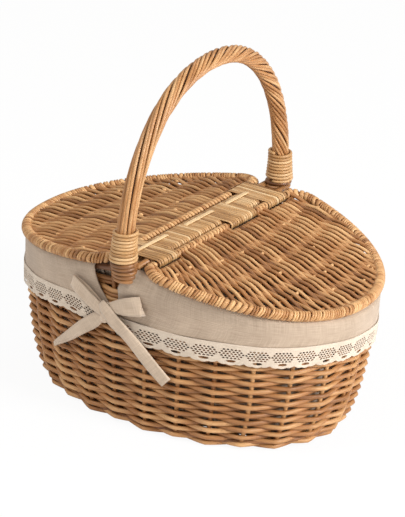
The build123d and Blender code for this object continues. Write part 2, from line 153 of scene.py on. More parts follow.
def wall_facing(angle):
    """The direction that the wall faces at an angle."""
    x, y = oval(waist_half_length, waist_half_width, angle)
    along = signed_power(x / waist_half_length, oval_power - 1) / waist_half_length
    across = signed_power(y / waist_half_width, oval_power - 1) / waist_half_width
    length = hypot(along, across)
    return (along / length, across / length)


def wall_point(angle, z, out=0.0):
    """A point of the wall's middle line, moved out or in by a distance."""
    half_length, half_width = wall_axes(z)
    x, y = oval(half_length, half_width, angle)
    facing = wall_facing(angle)
    return (x + out * facing[0], y + out * facing[1])


def lid_middle(x):
    """Height of the lids' middle plane at a distance from the crossbar."""
    return ridge_height - lid_slope * abs(x)


stake_angles = even_angles(stake_count)

# Meshes


def smooth_path(points, steps):
    """A smooth line through given points."""
    points = np.array(points, float)
    ends = np.vstack([2 * points[0] - points[1], points, 2 * points[-1] - points[-2]])
    weights = np.array([[0, 2, 0, 0], [-1, 0, 1, 0], [2, -5, 4, -1], [-1, 3, -3, 1]]) / 2
    share = np.arange(steps)[:, None] / steps
    powers = np.hstack([share**0, share, share**2, share**3])
    spans = [powers @ weights @ ends[k - 1 : k + 3] for k in range(1, len(ends) - 2)]
    return np.vstack(spans + [points[-1:]])


def grid_faces(rows, cols, closed_rows=False, closed_cols=False):
    """Four-sided faces between the points of a grid, whose rows and columns may close on themselves."""
    i = np.arange(rows if closed_rows else rows - 1)[:, None]
    j = np.arange(cols if closed_cols else cols - 1)[None, :]
    k, m = (i + 1) % rows, (j + 1) % cols
    return np.stack([i * cols + j, i * cols + m, k * cols + m, k * cols + j], -1).reshape(-1, 4)


class Rods:
    """Collects round or flat rods into one mesh, each with its own tone, on some rods with painted shade added
    to it, and its grain along it.
    """

    def __init__(self):
        self.points = []
        self.quads = []
        self.caps = []
        self.grain = []
        self.tone = []
        self.count = 0

    def add(self, path, radius, facing, sides=8, tone=0.5, closed=False, flat=1.0, shade=None):
        """Adds one rod along a path, its flat side looking along facing: one direction or one a point."""
        path = np.asarray(path, float)
        number = len(path)
        if closed:
            ahead = np.roll(path, -1, 0) - np.roll(path, 1, 0)
        else:
            ahead = np.gradient(path, axis=0)
        ahead /= np.linalg.norm(ahead, axis=1, keepdims=True) + 1e-12
        look = np.broadcast_to(np.asarray(facing, float), (number, 3))
        side = np.cross(ahead, look)
        side /= np.linalg.norm(side, axis=1, keepdims=True) + 1e-12
        look = np.cross(side, ahead)
        radius = np.broadcast_to(np.asarray(radius, float), (number,))[:, None, None]
        way = turn_angles(sides)
        ring = np.cos(way)[None, :, None] * side[:, None, :]
        ring = ring + np.sin(way)[None, :, None] * look[:, None, :] * flat
        surface = path[:, None, :] + ring * radius
        run = run_along(path)
        seed = random.random() * 100
        grain = np.zeros((number, sides, 3))
        grain[:, :, 0] = run[:, None] + seed * 37
        grain[:, :, 1] = np.cos(way)[None, :] + seed
        grain[:, :, 2] = np.sin(way)[None, :] + seed
        tones = np.full((number, sides), tone)
        # shade is added to the tone along the rod: painted shade for the wall's courses and the lids' strands,
        # a slow change of tone for the collar.
        if shade is not None:
            tones = tones + np.asarray(shade, float)[:, None]
        first = self.count
        self.count += number * sides
        self.points.append(surface.reshape(-1, 3))
        self.grain.append(grain.reshape(-1, 3))
        self.tone.append(tones.reshape(-1))
        self.quads.append(first + grid_faces(number, sides, closed, True))
        if not closed:
            self.caps.append(list(range(first, first + sides))[::-1])
            self.caps.append(list(range(self.count - sides, self.count)))

    def piece(self, name, material, node, body="root"):
        """Makes the collected rods into one piece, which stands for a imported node."""
        faces = np.vstack(self.quads).tolist() + self.caps
        obj = mesh_piece(name, np.vstack(self.points), faces, material)
        store(obj, "grain", "FLOAT_VECTOR", np.vstack(self.grain))
        store(obj, "tone", "FLOAT", np.concatenate(self.tone))
        return settle(obj, body, [node])


def mesh_piece(name, points, faces, material):
    """A smooth mesh from points in millimetres."""
    mesh = bpy.data.meshes.new(name)
    mesh.from_pydata((np.asarray(points) * MM).tolist(), [], faces)
    mesh.polygons.foreach_set("use_smooth", [True] * len(mesh.polygons))
    mesh.materials.append(material)
    mesh.update()
    obj = bpy.data.objects.new(name, mesh)
    bpy.context.scene.collection.objects.link(obj)
    return obj


def store(obj, name, kind, values):
    """Keeps a number or a vector for each point of a mesh, for its material."""
    attribute = obj.data.attributes.new(name, kind, "POINT")
    key = "vector" if kind == "FLOAT_VECTOR" else "value"
    attribute.data.foreach_set(key, np.asarray(values, np.float32).ravel())


def settle(obj, body, replaces):
    """Makes a piece ride on its body and the nodes that it stands for."""
    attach(obj, body)
    if replaces:
        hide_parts(*replaces)
    return obj


def cloth(name, grid, thickness, material, closed=False):
    """A sheet of cloth from a grid of points of its middle, with two sides and an edge all round."""
    grid = np.asarray(grid, float)
    rows, cols = grid.shape[:2]
    along = np.roll(grid, -1, 0) - np.roll(grid, 1, 0) if closed else np.gradient(grid, axis=0)
    facing = np.cross(along, np.gradient(grid, axis=1))
    facing /= np.linalg.norm(facing, axis=2, keepdims=True) + 1e-12
    points = np.vstack([(grid + way * facing * thickness / 2).reshape(-1, 3) for way in (1, -1)])
    under = rows * cols
    place = np.arange(under).reshape(rows, cols)
    if closed:
        edges = [np.append(place[::-1, 0], place[-1, 0]), np.append(place[:, -1], place[0, -1])]
    else:
        edges = [np.concatenate([place[0, :-1], place[:-1, -1], place[-1, :0:-1], place[::-1, 0]])]
    front = grid_faces(rows, cols, closed)[:, ::-1]
    faces = np.vstack([front, under + front[:, ::-1]]).tolist()
    for edge in edges:
        faces += np.column_stack([edge[:-1], edge[1:], under + edge[1:], under + edge[:-1]]).tolist()
    obj = mesh_piece(name, points, faces, material)
    flat = np.zeros((rows, cols, 3))
    flat[:, :, 0] = run_along(grid[:, cols // 2])[:, None]
    flat[:, :, 1] = run_along(grid[rows // 2])[None, :]
    store(obj, "grain", "FLOAT_VECTOR", np.vstack([flat.reshape(-1, 3)] * 2))
    return obj


# Materials


def nodes_of(name):
    """A new material, its node tree and its main shader."""
    material = bpy.data.materials.new(name)
    material.use_nodes = True
    tree = material.node_tree
    return material, tree, tree.nodes["Principled BSDF"]


def link(tree, source, target):
    tree.links.new(source, target)


def add_node(tree, kind, inputs, **settings):
    """A shader node with its settings and inputs, each input a value or a socket to link."""
    node = tree.nodes.new(f"ShaderNode{kind}")
    for key, value in settings.items():
        setattr(node, key, value)
    for key, value in inputs.items():
        if isinstance(value, bpy.types.NodeSocket):
            link(tree, value, node.inputs[key])
        else:
            node.inputs[key].default_value = value
    return node


def math_node(tree, operation, first, second):
    return add_node(tree, "Math", {0: first, 1: second}, operation=operation).outputs[0]


def weighted(tree, *parts):
    """The sum of some values, each times its weight."""
    total = 0.0
    for value, weight in parts:
        total = math_node(tree, "ADD", total, math_node(tree, "MULTIPLY", value, weight))
    return total


def ramp(tree, factor, stops):
    """A colour ramp from places and colours."""
    node = add_node(tree, "ValToRGB", {0: factor})
    while len(node.color_ramp.elements) < len(stops):
        node.color_ramp.elements.new(0.5)
    for element, (place, colour) in zip(node.color_ramp.elements, stops):
        element.position = place
        element.color = (*colour, 1)
    return node.outputs[0]


def multiplied(tree, share, first, second):
    """One colour darkened by another, by a share."""
    inputs = {0: share, 6: first, 7: second}
    return add_node(tree, "Mix", inputs, data_type="RGBA", blend_type="MULTIPLY").outputs[2]


def scaled(tree, vector, scale):
    """A vector scaled along each of its axes."""
    return add_node(tree, "Mapping", {"Vector": vector, "Scale": scale}).outputs[0]


def noise(tree, grain, stretch, scale, detail, rough):
    """A noise value along the grain, stretched along each of its axes."""
    place = scaled(tree, grain, stretch)
    inputs = {"Vector": place, "Scale": scale, "Detail": detail, "Roughness": rough}
    return add_node(tree, "TexNoise", inputs).outputs[0]


def attribute(tree, name, output):
    return add_node(tree, "Attribute", {}, attribute_name=name).outputs[output]


def bump(tree, shader, height, strength, distance):
    """Bump on a shader from a height."""
    node = add_node(tree, "Bump", {"Strength": strength, "Distance": distance, "Height": height})
    link(tree, node.outputs[0], shader.inputs["Normal"])


def willow(name, dark, middle, light, roughness=0.46):
    """Peeled willow or cane: each rod its own tone, with the painted shade that the tone attribute carries on
    some rods, streaks along the grain, spots and a soft polish.
    """
    material, tree, shader = nodes_of(name)
    grain = attribute(tree, "grain", "Vector")
    tone = attribute(tree, "tone", "Fac")
    streaks = noise(tree, grain, (0.02, 2.2, 2.2), 1.6, 4, 0.6)
    blotches = noise(tree, grain, (0.03, 0.25, 0.25), 1.0, 2, 0.5)
    shown = weighted(tree, (tone, 1.0), (math_node(tree, "SUBTRACT", blotches, 0.5), 0.75))
    colour = ramp(tree, shown, [(0.12, dark), (0.5, middle), (0.88, light)])
    fine = ramp(tree, streaks, [(0.3, (0.62, 0.5, 0.4)), (0.62, (1, 1, 1))])
    colour = multiplied(tree, 0.55, colour, fine)
    spots = noise(tree, grain, (0.22, 1.0, 1.0), 1.3, 2, 0.5)
    spots = ramp(tree, spots, [(0.24, (0.45, 0.28, 0.16)), (0.34, (1, 1, 1))])
    colour = multiplied(tree, 0.7, colour, spots)
    link(tree, colour, shader.inputs["Base Color"])
    gloss = math_node(tree, "ADD", math_node(tree, "MULTIPLY", streaks, 0.25), roughness - 0.1)
    link(tree, gloss, shader.inputs["Roughness"])
    shader.inputs["Specular IOR Level"].default_value = 0.5
    bump(tree, shader, streaks, 0.35, 0.0006)
    return material


def woven_cloth(name, warp, weft, thread, roughness=0.9):
    """Plain-woven cloth: threads both ways, slubs and faint unevenness."""
    material, tree, shader = nodes_of(name)
    grain = attribute(tree, "grain", "Vector")
    place = scaled(tree, grain, (0.32, 0.32, 0.32))
    inputs = {"Vector": place, "Scale": 1 / thread, "Distortion": 0.6, "Detail": 1.0}
    waves = [add_node(tree, "TexWave", inputs, bands_direction=way).outputs[0] for way in ("X", "Y")]
    slubs_along = noise(tree, grain, (0.05, 1.6, 1.0), 1.0, 3, 0.6)
    slubs_across = noise(tree, grain, (1.6, 0.05, 1.0), 1.0, 3, 0.6)
    uneven = noise(tree, grain, (0.03, 0.03, 1.0), 1.0, 2, 0.5)
    threads = weighted(tree, (waves[0], 0.5), (waves[1], 0.5))
    slubs = weighted(tree, (slubs_along, 0.5), (slubs_across, 0.5))
    factor = weighted(tree, (slubs, 0.75), (uneven, 0.25))
    colour = ramp(tree, factor, [(0.36, warp), (0.62, weft)])
    shadow = ramp(tree, threads, [(0.1, (0.86, 0.84, 0.82)), (0.6, (1, 1, 1))])
    colour = multiplied(tree, 0.6, colour, shadow)
    link(tree, colour, shader.inputs["Base Color"])
    shader.inputs["Roughness"].default_value = roughness
    shader.inputs["Sheen Weight"].default_value = 0.25
    shader.inputs["Sheen Roughness"].default_value = 0.5
    shader.inputs["Specular IOR Level"].default_value = 0.2
    bump(tree, shader, weighted(tree, (threads, 1.0), (slubs, 1.2)), 0.35, 0.0005)
    return material


wall_willow = willow("wall_willow", (0.12, 0.04, 0.010), (0.40, 0.178, 0.058), (0.74, 0.45, 0.205))
lid_willow = willow("lid_willow", (0.14, 0.048, 0.012), (0.43, 0.197, 0.066), (0.74, 0.45, 0.205))
handle_willow = willow("handle_willow", (0.13, 0.045, 0.012), (0.47, 0.225, 0.08), (0.80, 0.53, 0.27), 0.38)
cane = willow("binding_cane", (0.20, 0.085, 0.026), (0.54, 0.305, 0.122), (0.82, 0.59, 0.33), 0.4)
# Cuff linen and tie tape are one cloth in two copies: the cuffs' copy is painted darker, as shade under the
# lids, and the tape's copy about a third brighter, as painted light on the tails.
linen = woven_cloth("linen", (0.36, 0.27, 0.195), (0.55, 0.43, 0.325), 1.0)
lit_tape_linen = woven_cloth("lit_tape_linen", (0.48, 0.365, 0.265), (0.69, 0.55, 0.42), 1.0)
lace_cotton = woven_cloth("lace_cotton", (0.55, 0.445, 0.345), (0.75, 0.64, 0.52), 0.8)

# Woven wall

rod_girth = 2.52
wall_swing = 3.95
samples_per_gap = 8
first_course = 0.47
course_sway = 0.35
rod_straightness = 0.7
tone_spread = 0.085
stake_radius = 2.4
lowest_course = 3.1
edge_rods = ((4.2, -3.0), (7.9, 0.0), (8.6, -5.2))
edge_rod_radius = 2.6
base_rib_pitch = 40
base_strand_pitch = 4.0
base_strand_radius = 2.1
base_strand_swing = 3.2
rim_drop_below_lid = 14.5 / cos(lid_angle)
course_top = lid_middle(waist_half_length) - rim_drop_below_lid
full_courses = int((course_top - foot_height) / course_height)


def swing_at(z):
    """How far a course stands off the stakes' middle, more where the wall leans out."""
    step = course_height / 2
    lean = (wall_axes(z + step)[0] - wall_axes(max(0.0, z - step))[0]) / (2 * step)
    return wall_swing + lean * step * 0.6


def weave_shape(share):
    """Passes from 1 to -1 between two stakes, bending most near the stakes."""
    return 0.65 * (1 - 2 * share) + 0.35 * cos(pi * share)


def course_path(number, angles, closed):
    """The middle of one course of the wall, outside one stake and inside the next."""
    z = max(lowest_course, foot_height + course_height * (number + first_course))
    swing = swing_at(z)
    gaps = len(angles) if closed else len(angles) - 1
    sway = [random.uniform(-course_sway, course_sway) for _ in range(len(angles) + 1)]
    path, depth = [], []
    for k in range(gaps):
        here, there = angles[k], angles[(k + 1) % len(angles)]
        if there < here and closed:
            there += 2 * pi
        sign = 1 if (k + number) % 2 == 0 else -1
        last = 0 if closed or k < gaps - 1 else 1
        for step in range(samples_per_gap + last):
            share = step / samples_per_gap
            out = sign * swing * weave_shape(share)
            curve = np.array(wall_point(here + (there - here) * share, z, out))
            start, end = np.array(wall_point(here, z, out)), np.array(wall_point(there, z, out))
            straight = start * (1 - share) + end * share
            point = (1 - rod_straightness) * curve + rod_straightness * straight
            lift = sway[k] * (1 - share) + sway[(k + 1) % len(angles)] * share
            path.append((point[0], point[1], z + lift))
            depth.append(out / swing)
    return np.array(path), np.array(depth)


def rod_tones(number, span):
    """The tone along a course, which changes where one rod ends and the next begins."""
    tones = []
    while len(tones) < number:
        tones += [random.gauss(0, tone_spread)] * random.randint(int(span * 0.6), int(span * 1.4))
    return np.array(tones[:number])


def add_course(rods, number, angles, closed):
    """Adds one course of the wall, darkened where it swings inside the stakes: painted shade."""
    path, depth = course_path(number, angles, closed)
    tones = rod_tones(len(path), 9 * samples_per_gap)
    girth = rod_girth * (1 + 0.5 * np.convolve(np.pad(tones, 6, mode="edge"), np.ones(13) / 13, "valid"))
    # tones is each rod's own tone; 0.1 * depth adds painted shade where the course passes inside the stakes.
    rods.add(path, girth, (0, 0, 1), sides=8, tone=0.5, closed=closed, shade=tones + 0.1 * depth)


def make_wall():
    """The wall's whole courses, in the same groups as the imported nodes, and the short ones under the rim."""
    groups = (
        ("lower", 0, full_courses // 3),
        ("middle", full_courses // 3, 2 * full_courses // 3),
        ("upper", 2 * full_courses // 3, full_courses),
    )
    for name, first, last in groups:
        rods = Rods()
        for number in range(first, last):
            add_course(rods, number, stake_angles, True)
        rods.piece(f"wall_rods_{name}", wall_willow, f"side_weave_{name}")
    highest = lid_middle(30) - rim_drop_below_lid
    for name, side in (("near", -1), ("far", 1)):
        rods = Rods()
        for number in range(full_courses, int((highest - foot_height) / course_height)):
            z = foot_height + course_height * number
            reach = (ridge_height - rim_drop_below_lid - z - course_height) / lid_slope
            same_side = [a - 2 * pi if a > pi else a for a in stake_angles if side * sin(a) > 0]
            angles = sorted(a for a in same_side if abs(wall_point(a, z)[0]) < reach)
            add_course(rods, number, angles, False)
        rods.piece(f"{name}_short_rods", wall_willow, f"{name}_short_courses")


def make_stakes():
    """The wall's upright rods."""
    rods = Rods()
    for angle in stake_angles:
        heights = np.linspace(foot_height - 5, lid_middle(wall_point(angle, waist_height)[0]) - 13, 22)
        facing = wall_facing(angle)
        path = [(*wall_point(angle, z), z) for z in heights]
        rods.add(path, stake_radius, (facing[1], -facing[0], 0), tone=0.55 + random.gauss(0, 0.1))
    rods.piece("stake_rods", wall_willow, "side_stakes")


def make_foot():
    """The foot border: two more courses below the wall's, and the base's edge rods inside them."""
    rods = Rods()
    for number in (-1, -2):
        add_course(rods, number, stake_angles, True)
    for z, out in edge_rods:
        path = [(*wall_point(angle, z, out), z) for angle in turn_angles(120)]
        rods.add(path, edge_rod_radius, (0, 0, 1), closed=True, tone=0.3)
    rods.piece("foot_rods", wall_willow, "foot_border")


def make_base():
    """The woven base, in pairs of rods over and under seven ribs."""
    half_length, half_width = base_half_length - 2, base_half_width - 2
    z = foot_height
    ribs = Rods()
    for x in range(-3 * base_rib_pitch, 3 * base_rib_pitch + 1, base_rib_pitch):
        reach = oval_reach(half_width, half_length, x)
        ribs.add([(x, -reach, z), (x, 0, z), (x, reach, z)], 2.3, (0, 0, 1), flat=0.62)
    ribs.piece("base_rib_rods", wall_willow, "base_ribs")
    rods = Rods()
    for k in range(-25, 26):
        across = base_strand_pitch * k
        reach = oval_reach(half_length, half_width, abs(across) + 2)
        sign = 1 if (k // 2) % 2 == 0 else -1
        run = np.linspace(-reach, reach, 60)
        lift = sign * np.cos(pi * run / base_rib_pitch) * base_strand_swing
        path = np.column_stack([run, np.full(len(run), across), z + lift])
        rods.add(path, base_strand_radius, (0, 0, 1), 6, 0.5 + random.gauss(0, 0.1))
    rods.piece("base_rods", wall_willow, "base_weave")


make_wall()
make_stakes()
make_foot()
make_base()

# Lids

lid_rib_places = [45.0, 78.0, 111.0, 144.0, 177.0]
strand_girth = 2.0
strand_pitch = 3.75
strand_swing = 2.5
rib_radius = 1.9
fan_places = (-125, -110, -90, -65, -40, -15, 10, 60, 110)
fan_slopes = (-0.60, -0.50, -0.37, -0.26, -0.18, -0.13, -0.11, -0.03, 0.03)
stub_chance = 0.3
edging_reach = 4.3
edging_pitch = 5.9
edging_pair = ((-1.4, 1.45), (1.4, 1.45))
edging_turns = (((0, 2.5),), edging_pair, edging_pair)
edging_thickness = 1.35
hinge_turn_pitch = 5.4
end_loop = (84.0, 119.0)
middle_loop = (12.0, 60.0)


def drawn_in(x):
    """How far the hoop's corners are drawn in, at a distance from the crossbar."""
    return corner_draw * (max(0.0, corner_start - x) / (corner_start - 20)) ** 2


def hoop_middle(angle):
    """A point of the right lid's hoop."""
    x, y = oval(hoop_half_length, hoop_half_width, angle)
    return np.array((x, y - copysign(drawn_in(x), y), lid_middle(x)))


def hoop_width(x):
    """How far the hoop reaches across the lid at a distance from the crossbar."""
    return oval_reach(hoop_half_width, hoop_half_length, x) - drawn_in(x)


def fanned(across, run):
    """Where a strand that leaves the hinge at a place across the lid lies further out, as they fan."""
    place = [across]
    for step in np.diff(run):
        place.append(place[-1] + step * np.interp(place[-1], fan_places, fan_slopes))
    return np.array(place)


def rib_bow(y):
    """How far a rib bends back towards the hinge at a place across the lid."""
    return np.interp(y, (-130, -60, 20, 80, 130), (9.0, 2.0, 0.0, 7.0, 17.0))


def strand_height(x, y, sign):
    """Height of a strand over and under the ribs."""
    phase = (x + rib_bow(y) - lid_rib_places[0]) / (lid_rib_places[1] - lid_rib_places[0])
    wave = np.cos(pi * phase)
    triangle = 2 / pi * np.arcsin(np.clip(wave, -1, 1))
    return sign * strand_swing * (0.6 * wave + 0.4 * triangle)


def turned(points, side):
    """Points of the right lid, or the same turned half round for the left lid."""
    points = np.array(points, float)
    points[..., :2] *= side
    return points


def lid_normal(side):
    return np.array((side * sin(lid_angle), 0, cos(lid_angle)))


def make_lid_strands(name, side, loops):
    """The strands of one lid, each over one rib and under the next, darkened where they dip as painted shade,
    with a few ends that stand out.
    """
    rods = Rods()
    across, sign = -130.0, 1
    while across < 130:
        run = np.arange(hinge_offset, hoop_half_length, 3.0)
        place = fanned(across, run)
        inside = np.abs(place) < [hoop_width(x) + 0.5 for x in run]
        inside[0] = inside[0] or abs(across) < 131
        stop = int(np.argmin(inside)) if not inside.all() else len(run)
        beside = any(low - 2.5 < across < high + 2.5 for low, high in loops)
        first = 3 if beside else 0
        if stop - first > 3:
            run, place = run[first:stop], place[first:stop]
            height = strand_height(run, place, sign)
            ending = np.clip((run[-1] - run) / 14, 0, 1)
            height = height * ending + 1.2 * (1 - ending)
            starting = np.clip((run - run[0]) / 10, 0, 1)
            height = height * starting + sign * (0 if beside else 1.6) * (1 - starting)
            # Strands darken as they dip under the ribs: painted shade.
            painted_rib_shade = 0.1 * height / strand_swing
            normal = lid_normal(1)
            path = np.column_stack([run, place, [lid_middle(x) for x in run]]) + height[:, None] * normal
            girth = strand_girth * random.uniform(0.88, 1.1)
            tone = 0.5 + random.gauss(0, 0.12)
            rods.add(turned(path, side), girth, lid_normal(side), tone=tone, shade=painted_rib_shade)
            if random.random() < stub_chance and len(run) > 12:
                k = random.randrange(4, len(run) - 4)
                butt = path[k] - normal * height[k] * 0.5
                stub = [butt + (0, 0.5, 0), butt + np.array((2.5, 4.5, 0)) + normal * 1.5]
                rods.add(turned(stub, side), 1.5, lid_normal(side), tone=0.75)
        across += strand_pitch * (0.88 if across < -35 else 1.0) + random.uniform(-0.2, 0.2)
        sign = -sign
    rods.piece(f"{name}_lid_strands", lid_willow, f"{name}_lid_weave", f"{name}_lid")


def make_lid_ribs(name, side):
    """The ribs that the strands cross."""
    rods = Rods()
    for x in lid_rib_places:
        reach = hoop_width(x)
        across = np.linspace(-reach, reach, 15)
        path = [(x - bow, y, lid_middle(x - bow)) for y, bow in zip(across, rib_bow(across))]
        rods.add(turned(path, side), rib_radius, lid_normal(side), flat=0.6, tone=0.25)
    rods.piece(f"{name}_lid_rib_rods", lid_willow, f"{name}_lid_ribs", f"{name}_lid")


def ring(centre, outward, upward, reach, lean, samples=14):
    """A closed turn round a rod, leaning along it, and the way that each of its points faces."""
    way = turn_angles(samples)
    facing = np.cos(way)[:, None] * outward + np.sin(way)[:, None] * upward
    return centre + facing * reach + np.sin(way)[:, None] * lean, facing


def make_lid_hoop(name, side):
    """The hoop, with the strands' ends wound over it turn by turn."""
    limit = asin((1 - (hinge_offset / hoop_half_length) ** oval_power) ** 0.5)
    angles = np.linspace(-limit, limit, 400)
    middle = np.array([hoop_middle(a) for a in angles])
    run = run_along(middle)
    rods = Rods()
    rods.add(turned(middle[::4], side), 3.3, lid_normal(side), sides=10, tone=0.25)
    place = 2.0
    while place < run[-1] - 2:
        lean, tone = random.uniform(1.0, 2.8), 0.66 + random.gauss(0, 0.12)
        for offset, girth in random.choice(edging_turns):
            here = np.clip(place + offset, 0, run[-1] - 1)
            centre = np.array([np.interp(here, run, middle[:, k]) for k in range(3)])
            ahead = np.array([np.interp(here + 1, run, middle[:, k]) for k in range(3)]) - centre
            ahead /= np.linalg.norm(ahead)
            outward = np.cross(ahead, lid_normal(1))
            path, facing = ring(centre, outward, lid_normal(1), edging_reach, ahead * lean)
            shade = tone + random.gauss(0, 0.05)
            flat = edging_thickness / girth
            rods.add(turned(path, side), girth, turned(facing, side), 6, shade, closed=True, flat=flat)
        place += edging_pitch + random.uniform(-0.3, 0.4)
    rods.piece(f"{name}_lid_edging", lid_willow, f"{name}_lid_hoop", f"{name}_lid")


def make_hinge_stick(name, side, loops):
    """The stick along the hinge, with strand ends wound over it between the hinge loops."""
    rods = Rods()
    path = [(hinge_offset, y, hinge_height) for y in np.linspace(-132, 132, 12)]
    rods.add(turned(path, side), 2.3, (0, 0, 1), tone=0.3)
    for y in np.arange(-130, 131, hinge_turn_pitch):
        if any(low - 2.6 < y < high + 2.6 for low, high in loops):
            continue
        centre = np.array((hinge_offset, y, hinge_height))
        turn, facing = ring(centre, *np.array(((1, 0, 0), (0, 0, 1))), 3.3, np.array((0, 1.6, 0)), 12)
        tone = 0.72 + random.gauss(0, 0.1)
        rods.add(turned(turn, side), 2.05, turned(facing, side), 8, tone, closed=True, flat=0.72)
    rods.piece(f"{name}_hinge_stick_rods", lid_willow, f"{name}_lid_hinge_stick", f"{name}_lid")


def make_lid(name, side, loops):
    make_lid_strands(name, side, loops)
    make_lid_ribs(name, side)
    make_lid_hoop(name, side)
    make_hinge_stick(name, side, loops)


end_loops = [end_loop, (-end_loop[1], -end_loop[0])]
make_lid("right", 1, end_loops + [middle_loop])
make_lid("left", -1, end_loops)

# Crossbar

bar_end = 136.0
cane_thickness = 1.3
cane_pitch = 3.9
listing_stretches = [(-112.0, -57.0), (-24.0, 27.0), (53.0, 93.0)]


def wrap_turn(y, low_x, high_x, gap, lean):
    """One turn of flat cane round the rods between two places across the crossbar."""
    reach = bar_rod_radius + gap + cane_thickness / 2
    bend = np.linspace(pi / 2, -pi / 2, 7)[1:-1]
    points, facing = [], []
    for start, end, turn in ((low_x, high_x, 0), (high_x, low_x, -pi)):
        places = [*np.linspace(start, end, 5)] + [end] * len(bend)
        ways = [pi / 2 + turn] * 5 + [*bend + turn]
        for x, way in zip(places, ways):
            across = y + lean * (x - low_x) / (high_x - low_x)
            points.append((x + reach * cos(way), across, hinge_height + reach * sin(way)))
            facing.append((cos(way), 0, sin(way)))
    return points, facing


def wind(rods, low_x, high_x, gap, low, high):
    """Winds flat cane along one stretch of the crossbar."""
    count = round((high - low) / cane_pitch)
    pitch = (high - low) / count
    for k in range(count):
        y = low + pitch * (k + 0.5) + random.uniform(-0.15, 0.15)
        points, facing = wrap_turn(y - 0.6, low_x, high_x, gap, random.uniform(0.6, 1.6))
        tone = 0.5 + random.gauss(0, 0.13)
        half_width = pitch * 0.47
        flat = cane_thickness / 2 / half_width
        rods.add(points, half_width, facing, 8, tone, closed=True, flat=flat)


def make_crossbar():
    """The crossbar's rods, their winding of flat cane, the hinge loops and the pale listing."""
    rods = Rods()
    for x in (-bar_rod_offset, bar_rod_offset):
        path = [(x, y, hinge_height) for y in np.linspace(-bar_end, bar_end, 9)]
        rods.add(path, bar_rod_radius, (0, 0, 1), 12)
    rods.piece("bar_rods", handle_willow, "crossbar_rods")

    rods = Rods()
    wind(rods, -bar_rod_offset, bar_rod_offset, 0, -end_loop[0], middle_loop[0])
    wind(rods, -bar_rod_offset, bar_rod_offset, 0, middle_loop[1], end_loop[0])
    rods.piece("bar_winding", cane, "crossbar_binding")

    rods = Rods()
    wind(rods, -hinge_offset, hinge_offset, 0.1, -end_loop[1], -end_loop[0])
    wind(rods, -hinge_offset, hinge_offset, 0.1, end_loop[0], end_loop[1])
    rods.piece("end_hinge_windings", cane, "end_hinge_loops")

    rods = Rods()
    wind(rods, -bar_rod_offset, hinge_offset, 0.1, *middle_loop)
    rods.piece("middle_hinge_winding", cane, "middle_hinge_loop")

    rods = Rods()
    top = hinge_height + bar_rod_radius + cane_thickness
    for low, high in listing_stretches:
        run = np.linspace(low - 1.5, high + 1.5, 26)
        ends = np.clip(np.minimum(run - run[0], run[-1] - run) / 6, 0, 1)
        path = np.column_stack([-6 - 1.2 * (1 - ends), run, top - 1.3 + 1.9 * np.sqrt(ends)])
        rods.add(path, 2.7, (0, 0, 1), 10, 0.85, flat=0.25)
    rods.piece("bar_listing", cane, "crossbar_listing")


make_crossbar()

# Handle

handle_rods = 12
handle_rod_girth = 1.88
handle_ring = 7.6
handle_lay = radians(28)
handle_core_radius = 5.9
collar_turns = 9
collar_bottom = 194.8
collar_height = 31.5
collar_cane_radius = 1.62
foot_band_heights = (172.9, 177.7, 182.5, 187.3, 191.6)


def handle_middle(turn):
    """A point of the handle's middle line, from the near foot at 0 to the far foot at pi."""
    power = 2 / handle_power
    y = -handle_half_span * signed_power(cos(turn), power)
    z = handle_spring_height + handle_rise * signed_power(sin(turn), power)
    return np.array((0.0, y, z))


def splay_at(z):
    """How much wider the handle is near its feet."""
    return 2.0 * max(0.0, 1 - (z - handle_spring_height) / 34) ** 2


def make_handle():
    """The bow of rods twisted round a core, nearly straight at the near foot and steeper over the top; the
    core is painted black as the shade in the gaps between the rods.
    """
    turns = pi * np.arange(181) / 180
    middle = np.array([handle_middle(t) for t in turns])
    ahead = np.array([handle_middle(t + 0.001) - handle_middle(t - 0.001) for t in turns])
    ahead /= np.linalg.norm(ahead, axis=1, keepdims=True)
    across = np.cross(ahead, (1, 0, 0))
    core = Rods()
    # The core's tone lies below the darkest stop, so it shows black between the rods: painted shade.
    core.add(middle, handle_core_radius, (1, 0, 0), 12, -0.3)
    core.piece("handle_heart", handle_willow, "handle_core")
    rods = Rods()
    share = turns / pi
    steepness = np.clip((share - 0.03) / 0.42, 0, 1) ** 1.3
    steps = np.linalg.norm(np.diff(middle, axis=0, prepend=middle[:1]), axis=1)
    twist = -np.cumsum(np.tan(handle_lay * steepness) * steps) / (handle_ring + handle_rod_girth)
    for number in range(handle_rods):
        wander = 0.10 * np.sin(share * random.uniform(5, 9) + random.uniform(0, 6))
        way = 2 * pi * number / handle_rods + twist + wander
        out = np.cos(way)[:, None] * np.array((1, 0, 0)) + np.sin(way)[:, None] * across
        lift = 0.25 * np.sin(share * random.uniform(8, 16) + random.uniform(0, 6))
        reach = handle_ring + np.array([splay_at(z) for z in middle[:, 2]]) + lift - 0.2
        girth = handle_rod_girth * random.uniform(0.93, 1.05) * (1 - 0.08 * steepness)
        rods.add(middle + out * reach[:, None], girth, out, 10, 0.54 + random.gauss(0, 0.08))
    rods.piece("handle_twisted_rods", handle_willow, "handle_rods")


def collar_path():
    """The middle of the near collar's cane, from its lowest turn up."""
    path = []
    for step in range(collar_turns * 24 + 1):
        share = step / (collar_turns * 24)
        z = collar_bottom + collar_height * share
        rise = max(0.0, z - handle_spring_height) / handle_rise
        centre = handle_middle(asin(rise ** (handle_power / 2)))[1]
        reach = handle_rod_ring + splay_at(max(z, handle_spring_height)) + handle_rod_radius + 1.85
        way = 2 * pi * collar_turns * share + pi / 2
        path.append((reach * cos(way), centre + reach * sin(way), z))
    return np.array(path)


